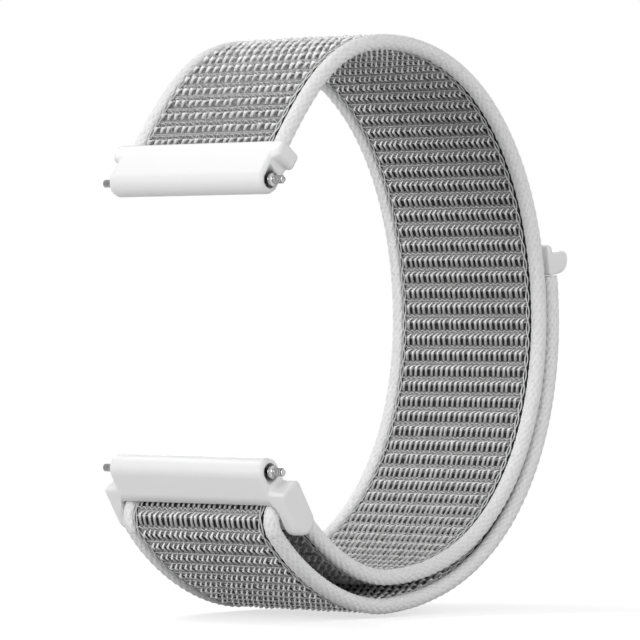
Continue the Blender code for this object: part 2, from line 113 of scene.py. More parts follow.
class FloatShape(NamedTuple):
    """How one kind of yarn arches over a row, in millimetres, shares and counts."""
    begin: float  # begin, crest and finish run from the row's start
    crest: float
    finish: float
    tail_share: float  # width where it dives
    base: float  # height where it rises
    rings: int
    sides: int
    sign: int  # 1 on the loop side, -1 on the skin side
    edge: float  # bare margin at each edge of the weave
    slant: float  # how far it leans across the band
    painted_shade_share: float  # how soon painted shade darkens it as it dives


SKIN_FLOAT = FloatShape(0.00, 0.40, 1.46, 1.25, 0.32, 9, 5, -1, 0.55, -0.30, 0.40)
BED_FLOAT = FloatShape(0.60, 0.95, 1.40, 0.70, 0.18, 5, 4, -1, 0.92, 0.00, 0.50)
LOOP_FLOAT = FloatShape(0.50, 0.92, 1.34, 0.62, 0.20, 7, 6, 1, 0.20, 0.52, 2.50)
BED_WIDTH = 0.24
BED_LIFT = 0.10

# How far yarns stray from an even weave: millimetres, or shares of the spacing or of their own size
SPACING_STRAY_SHARE = 0.09
BEGIN_STRAY = 0.04
CREST_STRAY = 0.05
LEAN_STRAY = 0.06
SIZE_SHARES = (1 - 0.14, 1 + 0.14)

# The arched yarn's form: powers of its curves, and shares of its width, lean, tone and painted shade
RISE_POWER = 1.3
DIVE_POWER = 1.2
TAIL_POWER = 0.8
ROOT_POWER = 1.5
ROOT_TAPER_SHARE = 0.35
FLATNESS_SHARE = 0.36
FALL_LEAN_SHARE = 0.6
FLOAT_TONES = (0.92, 1.0)
DIVE_PAINTED_SHADE_SHARE = 0.68

# Ground cloth, and the dark strips of painted shade in the channels beside it, in millimetres
GROUND_HALF = 0.30
GROUND_STEP = 0.6
SHADE_STRIP_CORNERS = ((8.78, -0.33), (9.22, -0.33), (9.22, 0.33), (8.78, 0.33))

# Ribs between the rows, in millimetres, shares and counts
SKIN_RIB_PLACE = -0.45
LOOP_RIB_PLACE = -0.14
LOOP_RIB_WIDTH = 0.52
RIB_SIDES = 12
RIB_RIDGES = 6
RIB_RIDGE_SHARE = 0.22
RIB_END_ROOM = 0.40
RIB_POINTS = 27
RIB_STRAY = 0.035
RIB_BASE = 0.30
RIB_HEIGHT = 0.15
RIB_HEIGHT_STRAY_SHARE = 0.2
RIB_UNDER_SHARE = -0.6
RIB_FLECK_SHIFT = 1.37

# Threads across the ribs: place behind the row, bow along the band, height and dive, in millimetres
SKIN_THREADS = ((-0.22, -0.10, 0.50, 0.06), (0.48, 0.03, 0.44, 0.06))
LOOP_THREADS = ((-0.30, 0.09, 0.46, 0.22),)
THREAD_END_ROOM = 0.3
THREAD_POINTS = 139
THREAD_LAST_ROOM = 0.2
THREAD_RUN_STRAY = 0.03
THREAD_HEIGHT_STRAY = 0.02
THIN_TONES = (0.7, 1.0)

# Brushed fibres of the loop side, thicker than the real 0.02 mm so that they show: millimetres and counts
FIBRES_A_ROW = 64
FIBRE_ROW_SHARES = (0.1, 1.0)
FIBRE_END_ROOM = 0.3
FIBRE_REACHES = (0.15, 0.42)
FIBRE_HEIGHTS = (0.30, 0.62)
FIBRE_BASE = 0.38
FIBRE_RADIUS = 0.022

# The weave's random draws
FIRST_SEED = 11
SEEDS_A_STRETCH = 10

# Braided cover of the edge cords: millimetres, counts and shares; its tones are painted shade in the braid's valleys
CORD_SIDES = 30
CORD_STEP = 0.13
CORD_STRANDS = 8
CORD_UNDER_SHARE = 0.7
CORD_CROWN_POWER = 1.5
CORD_VALLEY_PAINTED_SHADE = 0.80
CORD_CROWN_PAINTED_LIGHT = 0.20

# Chain of stitches beside each cord, in millimetres and counts
STITCH_POINTS_A_ROW = 12
STITCH_PHASE = 1.45
STITCH_INSET = 0.20
STITCH_SWING = 0.19
STITCH_HEIGHT = 0.54
STITCH_DIVE = 0.08

# Coil spring inside each spring bar, in millimetres along the bar from the bar's middle
SPRING_HALF = 5.15
SPRING_RADIUS = 0.55
SPRING_TURNS = 15
SPRING_TURN_POINTS = 16

# Hook pad on the folded-back end, in millimetres
PAD_LENGTH = 25.0
PAD_HALF_WIDTH = 8.0
PAD_THICKNESS = 0.3
PAD_END_MARGIN = 2.0
PAD_POINTS = 43
SHEET_THICKNESS = 0.1
HOOK_SINK = 0.02

# One hook from foot to tip: degrees it has turned, then reach, height and radius in millimetres
HOOK_PROFILE = (
    (0, 0.0, 0.0, 0.12), (0, 0.0, 0.10, 0.10), (40, 0.04, 0.16, 0.09), (90, 0.13, 0.19, 0.075), (140, 0.19, 0.15, 0.04)
)

# Patterns of the finishes: lines and ridges by their period in millimetres, flecks by how many a millimetre holds.
# Those too fine to show at the photograph's size are drawn coarser.
GROUND_GRAIN = 0.16
RIB_GRAIN = 0.17
SKIN_TWIST = 0.22
LOOP_TWIST = 0.20
STITCH_TWIST = 0.15
# Period of the steel's rings, which are partly turning marks and partly painted reflection
TURNING_AND_REFLECTION_RINGS = 0.22
FILAMENT_FLECKS = 3.2
CORD_FLECKS = 1.5
CORD_FLECK_TURN = math.radians(12)
MOULD_CLOUDS = 0.9
WELD_REACH = 0.002
COLOUR_SOCKETS = {"A": 6, "B": 7}

# Stage, in metres: lamps as name, place, side and share of the key light's power
LAMP_AIM = (0, 0.02, -0.015)
LAMPS = (
    ("key_left", (-0.50, -0.05, 0.58), 0.24, 1.0),
    ("front_left", (-0.25, -0.72, 0.12), 0.36, 1.85),
    ("fill_right", (0.70, -0.25, 0.20), 0.36, 1.40),
    ("back_left", (-0.45, 0.70, 0.10), 0.36, 1.70),
)
WORLD_STRENGTH = 0.46
FLOOR_SIDE = 6
FLOOR_MIDDLE_Y = 0.02
FLOOR_GAP = 0.4 * MM
FLOOR_GLOW = 0.66
FLOOR_FADE_START = 0.05
FLOOR_FADE_END = 0.25
CAMERA_AIM = (0, 20.0 * MM, -14.55 * MM)


def linear(code):
    """Turn an sRGB hex colour into linear red, green and blue."""
    values = [int(code[index:index + 2], 16) / 255 for index in (1, 3, 5)]
    return tuple(v / 12.92 if v <= 0.04045 else ((v + 0.055) / 1.055) ** 2.4 for v in values)


def colour_property(name, code, description):
    """Return a colour setting whose default is an sRGB hex colour."""
    return FloatVectorProperty(name=name, description=description, subtype="COLOR", size=3,
                               min=0, max=1, default=linear(code))


def length_property(name, millimetres, description):
    """Return a length setting in metres whose default is given in millimetres."""
    return FloatProperty(name=name, description=description, unit="LENGTH", default=millimetres * MM)


class StrapWeaveSettings(bpy.types.PropertyGroup):
    """Sizes and colours of the woven band."""
    row_pitch: length_property("Row pitch", 1.777, "Distance from one rib of the weave to the next")
    skin_yarns: IntProperty(name="Yarns on the skin side", description="Floats across each row", default=23, min=2)
    loop_yarns: IntProperty(name="Yarns on the loop side", description="Floats across each row", default=18, min=2)
    skin_phase: length_property("Skin row offset", 1.34, "How far the skin side's rows lie behind the loop side's")
    skin_width: length_property("Skin yarn width", 0.34, "Width of one float on the skin side")
    loop_width: length_property("Loop yarn width", 0.46, "Width of one brushed float on the loop side")
    skin_lift: length_property("Skin yarn lift", 0.40, "How far a float arches over the ground")
    loop_lift: length_property("Loop yarn lift", 0.52, "How far a brushed float arches over the ground")
    rib_width: length_property("Rib width", 1.12, "Width of the filling yarns between two rows of floats")
    thread_width: length_property("Thread width", 0.12, "Width of the thin threads that run across the ribs")
    skin_colour: colour_property("Skin yarn", "#FFFFFF", "Bright filament yarn on the skin side")
    loop_colour: colour_property("Loop yarn", "#FFFFFF", "Brushed yarn on the loop side")
    bed_colour: colour_property("Bed yarn", "#7E7E7E", "Grey yarn that lies low between the floats")
    rib_colour: colour_property("Rib", "#989898", "Grey filling yarn of the skin side")
    loop_rib_colour: colour_property("Loop rib", "#A6A6A6", "Grey filling yarn of the loop side")
    thread_colour: colour_property("Thread", "#F4F4F4", "Thin threads across the ribs")
    ground_colour: colour_property("Ground", "#404040", "Dark ground of the skin side")
    # Painted shade: near-black strips stand in for the shadow deep in each channel beside a cord
    channel_shade_colour: colour_property("Channel", "#1E1E1E", "Deep channel between the weave and a cord")
    loop_ground_colour: colour_property("Loop ground", "#9C9C9C", "Grey ground of the loop side")


class StrapTrimSettings(bpy.types.PropertyGroup):
    """Sizes and colours of the corded edges, the stitches and the hook pad."""
    braid_pitch: length_property("Braid pitch", 1.05, "Length of one pick of the braid along the cord")
    braid_relief: length_property("Braid relief", 0.13, "Height of the braid's strands")
    stitch_width: length_property("Stitch width", 0.15, "Width of one strand of the edge stitches")
    hook_pitch: length_property("Hook pitch", 0.70, "Distance from one hook of the pad to the next")
    cord_colour: colour_property("Cord", "#FDFDFD", "White cover of the edge cords")
    stitch_colour: colour_property("Stitch", "#F4F4F4", "Light strands beside the cords")
    hook_colour: colour_property("Hooks", "#F0F0F0", "Moulded hooks of the pad")
    sheet_colour: colour_property("Hook sheet", "#B8B8B8", "Sheet that the pad's hooks stand on")


class StrapFinishSettings(bpy.types.PropertyGroup):
    """Finishes of the rigid pieces."""
    plastic_colour: colour_property("Plastic", "#F0F0F0", "White moulded plastic")
    plastic_roughness: FloatProperty(name="Plastic roughness", description="Satin mould texture", subtype="FACTOR",
                                     min=0, max=1, default=0.42)
    steel_colour: colour_property("Steel", "#A6A6A6", "Polished stainless steel")
    wire_width: length_property("Spring wire", 0.16, "Width of the wire of the springs inside the bars")


class StrapStageSettings(bpy.types.PropertyGroup):
    """Camera, lights and backdrop."""
    backdrop_colour: colour_property("Backdrop", "#FFFFFF", "Colour of the backdrop")
    floor_colour: colour_property("Floor", "#BEBEBE", "Paper under the strap, which its glow lifts to white")
    camera_distance: length_property("Camera distance", 537.0, "From the middle of the loop to the camera")
    camera_turn: FloatProperty(name="Camera turn", description="How far the camera stands round to the right",
                               subtype="ANGLE", default=math.radians(41.9))
    focal_length: FloatProperty(name="Focal length", description="In millimetres", unit="CAMERA", default=279.56)
    key_power: FloatProperty(name="Key light", description="Power of the light above the strap's left", unit="POWER",
                             default=1.3)


def add_node(tree, kind, settings=None, links=None):
    """Add a shader node, set its properties and sockets, and link its inputs."""
    node = tree.nodes.new(kind)
    for key, value in (settings or {}).items():
        if isinstance(key, str) and hasattr(node, key):
            setattr(node, key, value)
        elif kind == "ShaderNodeMix" and key in COLOUR_SOCKETS:
            node.inputs[COLOUR_SOCKETS[key]].default_value = value
        else:
            node.inputs[key].default_value = value
    for key, source in (links or {}).items():
        tree.links.new(source, node.inputs[key])
    return node


def new_material(name):
    """Return an empty node material and its tree."""
    mat = bpy.data.materials.new(name)
    mat.use_nodes = True
    mat.node_tree.nodes.clear()
    return mat, mat.node_tree


def principled(mat, settings, normal, colour=None):
    """Finish a material with a Principled BSDF, its bump and the colour of its pattern."""
    links = {"Normal": normal, "Base Color": colour} if colour else {"Normal": normal}
    shader = add_node(mat.node_tree, "ShaderNodeBsdfPrincipled", settings, links)
    add_node(mat.node_tree, "ShaderNodeOutputMaterial", None, {"Surface": shader.outputs["BSDF"]})
    return mat


def product(tree, one, two):
    """Return two values multiplied."""
    return add_node(tree, "ShaderNodeMath", {"operation": "MULTIPLY"}, {0: one, 1: two}).outputs[0]


def relief(tree, height, strength, depth):
    """Return a bump of a strength and of a depth in millimetres."""
    settings = {"Strength": strength, "Distance": depth * MM}
    return add_node(tree, "ShaderNodeBump", settings, {"Height": height}).outputs["Normal"]


def two_tones(tree, colour, dark, pale, factor):
    """Return a colour that goes from a dark share of itself to a pale one."""
    ends = {key: (*[min(1, value * share) for value in colour], 1) for key, share in (("A", dark), ("B", pale))}
    return add_node(tree, "ShaderNodeMix", {"data_type": "RGBA", **ends}, {"Factor": factor}).outputs["Result"]


def unit(angle):
    """Return the unit vector at an angle in the YZ plane."""
    return np.array([math.cos(angle), math.sin(angle)])


def bezier(start, start_way, end, end_way, shares):
    """Return points on one span whose handles are shares of its chord."""
    chord = np.linalg.norm(end - start)
    near = start + start_way * chord * shares[0]
    far = end - end_way * chord * shares[1]
    t = np.linspace(0, 1, SPAN_POINTS)[:, None]
    return (1 - t) ** 3 * start + 3 * (1 - t) ** 2 * t * near + 3 * (1 - t) * t ** 2 * far + t ** 3 * end


def run_along(path):
    """Return the distance run along a path at each of its points."""
    return np.concatenate([[0], np.cumsum(np.linalg.norm(np.diff(path, axis=0), axis=1))])


def resample(path, step):
    """Return a path's points again at an even step."""
    run = run_along(path)
    at = np.linspace(0, run[-1], round(run[-1] / step) + 1)
    return np.stack([np.interp(at, run, path[:, axis]) for axis in (0, 1)], axis=1)


def left_of(path):
    """Return the unit direction to the left of travel at each point of a path."""
    way = np.gradient(path, axis=0)
    way /= np.linalg.norm(way, axis=1)[:, None]
    return np.stack([-way[:, 1], way[:, 0]], axis=1)


class Route:
    """The band's centre line from the fixed connector round the crossbar to the end tab."""

    def __init__(self):
        crossbar = np.array([0, -BAR_SPACING]) + LOOP_REACH * unit(LOOP_LEAN)
        knots = [
            FIXED_LENGTH * unit(FIXED_LEAN),
            np.array([TOP_REACH_SHARE * LOOP_DEPTH, LOOP_RISE]),
            np.array([LOOP_DEPTH, -BACK_DROP_SHARE * LOOP_DROP]),
            np.array([BOTTOM_REACH_SHARE * LOOP_DEPTH, -LOOP_DROP]),
            crossbar + FOLD_RADIUS * unit(FOLD_LEAN),
        ]
        ways = [unit(FIXED_LEAN), unit(0), unit(-math.pi / 2), unit(math.pi), unit(FOLD_LEAN + math.pi / 2)]
        ends = list(zip(knots, ways))
        spans = [bezier(*near, *far, shares)[1:] for near, far, shares in zip(ends, ends[1:], HANDLE_SHARES)]
        inner = resample(np.vstack([knots[0], *spans]), FINE_STEP)
        turn = np.linspace(FOLD_LEAN, FOLD_LEAN + math.pi, FOLD_POINTS)
        fold = crossbar + FOLD_RADIUS * np.stack([np.cos(turn), np.sin(turn)], axis=1)
        back = resample(inner[::-1], FINE_STEP)
        reach = run_along(back)
        kept = reach <= FLAP_LENGTH + TONGUE_DEPTH
        back, reach = back[kept], reach[kept]
        spacing = LAYER_PITCH + (2 * FOLD_RADIUS - LAYER_PITCH) / (1 + (reach / SPREAD_LENGTH) ** 2)
        flap = back - left_of(back) * spacing[:, None]
        self.points = np.vstack([inner, fold[1:], flap[1:]])
        self.run = run_along(self.points)
        self.left = left_of(self.points)
        self.fold_start = self.run[len(inner) - 1]
        self.fold_end = self.run[len(inner) + len(fold) - 2]
        self.end = self.run[-1] - TONGUE_DEPTH
        near = np.linalg.norm(inner - np.array(FLEX_PLACE), axis=1)
        self.flex = self.run[near.argmin()]

    def place(self, run, across, out):
        """Return points in metres: distance along the band, across it, and out to its loop side."""
        centre = np.stack([np.interp(run, self.run, self.points[:, axis]) for axis in (0, 1)], axis=-1)
        left = np.stack([np.interp(run, self.run, self.left[:, axis]) for axis in (0, 1)], axis=-1)
        left /= np.linalg.norm(left, axis=-1)[..., None]
        spot = centre + left * np.asarray(out)[..., None]
        return np.stack([np.broadcast_to(across, spot.shape[:-1]), spot[..., 0], spot[..., 1]], axis=-1) * MM


ROUTE = Route()
STRETCHES = {
    "band": (BUTT_GAP, ROUTE.fold_start),
    "fold": (ROUTE.fold_start, ROUTE.fold_end),
    "flap": (ROUTE.fold_end, ROUTE.end - BUTT_GAP),
}


def make_mesh(name, verts, faces, mat, uv=None, tone_and_shade=None, smooth=True):
    """Make an object from points and a list of faces, with a UV and a tone, which may hold painted shade, for each
    point.
    """
    mesh = bpy.data.meshes.new(name)
    sizes = np.array([len(face) for face in faces])
    flat = np.concatenate(faces)
    mesh.vertices.add(len(verts))
    mesh.vertices.foreach_set("co", np.asarray(verts, np.float32).ravel())
    mesh.loops.add(len(flat))
    mesh.loops.foreach_set("vertex_index", flat.astype(np.int32))
    mesh.polygons.add(len(sizes))
    mesh.polygons.foreach_set("loop_start", np.concatenate([[0], np.cumsum(sizes)[:-1]]).astype(np.int32))
    mesh.update(calc_edges=True)
    if uv is not None:
        layer = mesh.uv_layers.new(name="yarn")
        layer.data.foreach_set("uv", uv[flat].astype(np.float32).ravel())
    if tone_and_shade is not None:
        attribute = mesh.attributes.new("tone_and_shade", "FLOAT", "POINT")
        attribute.data.foreach_set("value", tone_and_shade.astype(np.float32))
    if smooth:
        mesh.shade_smooth()
    mesh.materials.append(mat)
    obj = bpy.data.objects.new(name, mesh)
    bpy.context.scene.collection.objects.link(obj)
    return obj


def strand_faces(strands, rings, sides):
    """Return the faces of closed strands, each a run of rings, as lists of corners: sides first, then ends."""
    ring = np.arange(rings - 1)[:, None] * sides
    side = np.arange(sides)
    beside = (side + 1) % sides
    quads = np.stack([ring + side, ring + sides + side, ring + sides + beside, ring + beside], axis=-1)
    starts = np.arange(strands) * rings * sides
    quads = (starts[:, None, None] + quads.reshape(-1, 4)[None]).reshape(-1, 4)
    last = (rings - 1) * sides + side[::-1]
    return [*quads, *[start + cap for start in starts for cap in (side, last)]]


def strand_mesh(name, mat, run, across, out, tone_and_shade=1.0, flip=False, uv=None):
    """Make closed strands from arrays shaped strand, ring and side, in band coordinates."""
    strands, rings, sides = run.shape
    verts = ROUTE.place(run, across, out).reshape(-1, 3)
    faces = strand_faces(strands, rings, sides)
    if flip:
        faces = [face[::-1] for face in faces]
    if uv is None:
        uv = (run - run[:, :1], np.broadcast_to(np.arange(sides) / sides, run.shape))
    uv = np.stack([part.ravel() for part in uv], axis=1)
    return make_mesh(name, verts, faces, mat, uv, np.broadcast_to(tone_and_shade, run.shape).ravel())


def ribbon(run, half, low, high):
    """Return the points and the faces of a closed flat ribbon along the band."""
    corners = [(-half, low), (half, low), (half, high), (-half, high)]
    verts = np.stack([ROUTE.place(run, x, np.full(len(run), n)) for x, n in corners], axis=1).reshape(-1, 3)
    return verts, strand_faces(1, len(run), len(corners))


def settle(name, obj, nodes=()):
    """Seat a stretch of the band in place of its solids: the band and the fold stay where they lie, the flap goes on
    its body.
    """
    if name == "band":
        start = ROUTE.place(np.array(ROUTE.flex - FLEX_REACH), 0.0, 0.0)
        end = ROUTE.place(np.array(ROUTE.flex + FLEX_REACH), 0.0, 0.0)
        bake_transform(obj)
    elif name == "fold":
        start = ROUTE.place(np.array(ROUTE.fold_start), 0.0, 0.0)
        end = ROUTE.place(np.array(ROUTE.fold_end), 0.0, 0.0)
        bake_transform(obj)
    else:
        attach(obj, "flap")
    if nodes:
        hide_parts(*nodes)


def even_steps(start, end, step, fewest):
    """Return places from start to end at about an even step."""
    return np.linspace(start, end, max(fewest, round((end - start) / step)) + 1)


def rows_in(start, end, pitch, phase=0.0):
    """Return the places of the weave's rows that begin within a stretch."""
    first = math.ceil((start - phase - BUTT_GAP) / pitch)
    last = math.ceil((end - phase - BUTT_GAP) / pitch)
    return np.arange(first, last) * pitch + phase


def bands(period):
    """Return the Wave texture's scale for straight bands of a period in millimetres."""
    return math.pi / 10 / period


def circle(sides):
    """Return the angles of a ring's corners."""
    return np.arange(sides) / sides * 2 * math.pi


def ribbon_material(name, colour, roughness, grain, dark=0.62, pale=1.30):
    """Return polyamide (nylon) filling yarn, woven flat: matt, with fine lines of filaments and uneven flecks."""
    mat, tree = new_material(name)
    uv = add_node(tree, "ShaderNodeUVMap", {"uv_map": "yarn"}).outputs["UV"]
    lines = add_node(tree, "ShaderNodeTexWave",
                     {"bands_direction": "Y", "Scale": bands(grain), "Distortion": 3.0, "Detail Scale": 2.0},
                     {"Vector": uv})
    flecks = add_node(tree, "ShaderNodeTexNoise", {"Scale": FILAMENT_FLECKS, "Detail": 3.0, "Roughness": 0.7},
                      {"Vector": uv})
    both = product(tree, lines.outputs["Fac"], flecks.outputs["Fac"])
    spread = add_node(tree, "ShaderNodeMapRange", {"From Min": 0.05, "From Max": 0.5}, {"Value": both})
    return principled(mat, {"Roughness": roughness, "IOR": 1.53}, relief(tree, both, 0.7, 0.06),
                      two_tones(tree, colour, dark, pale, spread.outputs[0]))


def yarn_material(name, colour, roughness, twist, gloss=0.3):
    """Return polyamide (nylon) filament yarn, twisted: glinting ridges run round it with painted shade in the grooves
    between them, and painted shade darkens it as it dives.
    """
    mat, tree = new_material(name)
    uv = add_node(tree, "ShaderNodeUVMap", {"uv_map": "yarn"}).outputs["UV"]
    tone_and_shade = add_node(tree, "ShaderNodeAttribute", {"attribute_name": "tone_and_shade"})
    lay = add_node(tree, "ShaderNodeTexWave",
                   {"bands_direction": "DIAGONAL", "Scale": bands(twist) * 2, "Distortion": 1.2, "Detail": 1.0},
                   {"Vector": uv}).outputs["Fac"]
    # Painted shade: the colour darkens in the grooves between the twist ridges
    shade = add_node(tree, "ShaderNodeMapRange", {"To Min": 0.92, "To Max": 1.0}, {"Value": lay})
    level = product(tree, tone_and_shade.outputs["Fac"], shade.outputs[0])
    return principled(mat, {"Roughness": roughness, "IOR": 1.53, "Specular IOR Level": gloss, "Coat Weight": gloss,
                            "Coat Roughness": 0.18},
                      relief(tree, lay, 0.5, 0.05), two_tones(tree, colour, 0.06, 1.0, level))


def cord_material(name, colour, roughness):
    """Return polyamide (nylon) cord, braided: soft slanting flecks of painted shade where strands pass under, and a
    faint sheen.
    """
    mat, tree = new_material(name)
    uv = add_node(tree, "ShaderNodeUVMap", {"uv_map": "yarn"}).outputs["UV"]
    tone_and_shade = add_node(tree, "ShaderNodeAttribute", {"attribute_name": "tone_and_shade"})
    slope = add_node(tree, "ShaderNodeMapping", {"Rotation": (0, 0, CORD_FLECK_TURN), "Scale": (1.0, 9.0, 1.0)},
                     {"Vector": uv})
    flecks = add_node(tree, "ShaderNodeTexNoise",
                      {"Scale": CORD_FLECKS, "Detail": 3.0, "Roughness": 0.75, "Distortion": 0.6},
                      {"Vector": slope.outputs["Vector"]}).outputs["Fac"]
    # Painted shade: darker flecks where strands pass under
    shade = add_node(tree, "ShaderNodeMapRange", {"From Min": 0.36, "From Max": 0.5, "To Min": 0.88, "To Max": 1.0},
                     {"Value": flecks})
    level = product(tree, tone_and_shade.outputs["Fac"], shade.outputs[0])
    return principled(mat, {"Roughness": roughness, "IOR": 1.53, "Sheen Weight": 0.15, "Sheen Roughness": 0.4},
                      relief(tree, flecks, 1.0, 0.12), two_tones(tree, colour, 0.10, 1.0, level))


def plastic_material(name, colour, roughness):
    """Return thermoplastic, injection moulded in a satin tool: a soft highlight and a faintly cloudy surface."""
    mat, tree = new_material(name)
    place = add_node(tree, "ShaderNodeTexCoord")
    cloud = add_node(tree, "ShaderNodeTexNoise", {"Scale": MOULD_CLOUDS / MM, "Detail": 3.0},
                     {"Vector": place.outputs["Object"]})
    return principled(mat, {"Base Color": (*colour, 1), "Roughness": roughness, "IOR": 1.50, "Subsurface Weight": 0.1,
                            "Subsurface Radius": (1.0, 1.0, 1.0), "Subsurface Scale": 1.5 * MM},
                      relief(tree, cloud.outputs["Fac"], 0.10, 0.02))


def steel_material(name, colour):
    """Return stainless steel, turned or drawn: fine darker and brighter rings round the bar, partly turning marks and
    partly painted reflection.
    """
    mat, tree = new_material(name)
    place = add_node(tree, "ShaderNodeTexCoord")
    rings = add_node(tree, "ShaderNodeTexWave",
                     {"bands_direction": "X", "Scale": bands(TURNING_AND_REFLECTION_RINGS * MM), "Distortion": 1.5},
                     {"Vector": place.outputs["Object"]}).outputs["Fac"]
    # Painted reflection: dark and bright rings in the colour stand in for part of what the steel reflects
    return principled(mat, {"Roughness": 0.13, "Metallic": 1.0}, relief(tree, rings, 0.25, 0.03),
                      two_tones(tree, colour, 0.20, 1.4, rings))


def strays(rng, reach, size):
    """Return random shifts of up to a reach to either side."""
    return rng.uniform(-reach, reach, size)


def floats(rows, count, width, lift, shape, seed):
    """Return the yarns that arch over each row: where they rise, crest and dive, and their tones, with painted shade
    where they dive.
    """
    rng = np.random.default_rng(seed)
    half = WEAVE_HALF - shape.edge
    spacing = 2 * half / count
    centre = (np.arange(count) + 0.5) * spacing - half
    start = np.repeat(rows, count)
    total = len(start)
    middle = np.tile(centre, len(rows)) + strays(rng, SPACING_STRAY_SHARE, total) * spacing
    begins = start + shape.begin + strays(rng, BEGIN_STRAY, total)
    crests = start + shape.crest + strays(rng, CREST_STRAY, total)
    finishes = start + shape.finish + strays(rng, CREST_STRAY, total)
    wide = width * rng.uniform(*SIZE_SHARES, total)
    high = lift * rng.uniform(*SIZE_SHARES, total)
    lean = shape.slant + strays(rng, LEAN_STRAY, total)
    share = np.linspace(-1, 1, shape.rings)
    rising = np.minimum(share, 0)
    falling = np.maximum(share, 0)
    along = crests[:, None] + rising * (crests - begins)[:, None] + falling * (finishes - crests)[:, None]
    arch = 1 - np.abs(rising) ** RISE_POWER - falling ** DIVE_POWER
    taper = ROOT_TAPER_SHARE * np.abs(rising) ** ROOT_POWER
    swell = 1 - (1 - shape.tail_share) * falling ** TAIL_POWER - taper
    angle = circle(shape.sides)
    side = middle[:, None] + lean[:, None] * (rising + FALL_LEAN_SHARE * falling)
    across = side[..., None] + np.cos(angle) * (wide[:, None] / 2 * swell)[..., None]
    thick = (wide[:, None] * FLATNESS_SHARE * swell)[..., None]
    out = (shape.base + arch * high[:, None])[..., None] + np.sin(angle) * thick
    run = np.broadcast_to(along[..., None], across.shape)
    # Painted shade: each yarn darkens as it dives under the next rib
    shade = 1 - DIVE_PAINTED_SHADE_SHARE * np.minimum(1, falling / shape.painted_shade_share)
    tone_and_shade = rng.uniform(*FLOAT_TONES, total)[:, None] * shade
    return run, across, shape.sign * out, tone_and_shade[..., None]


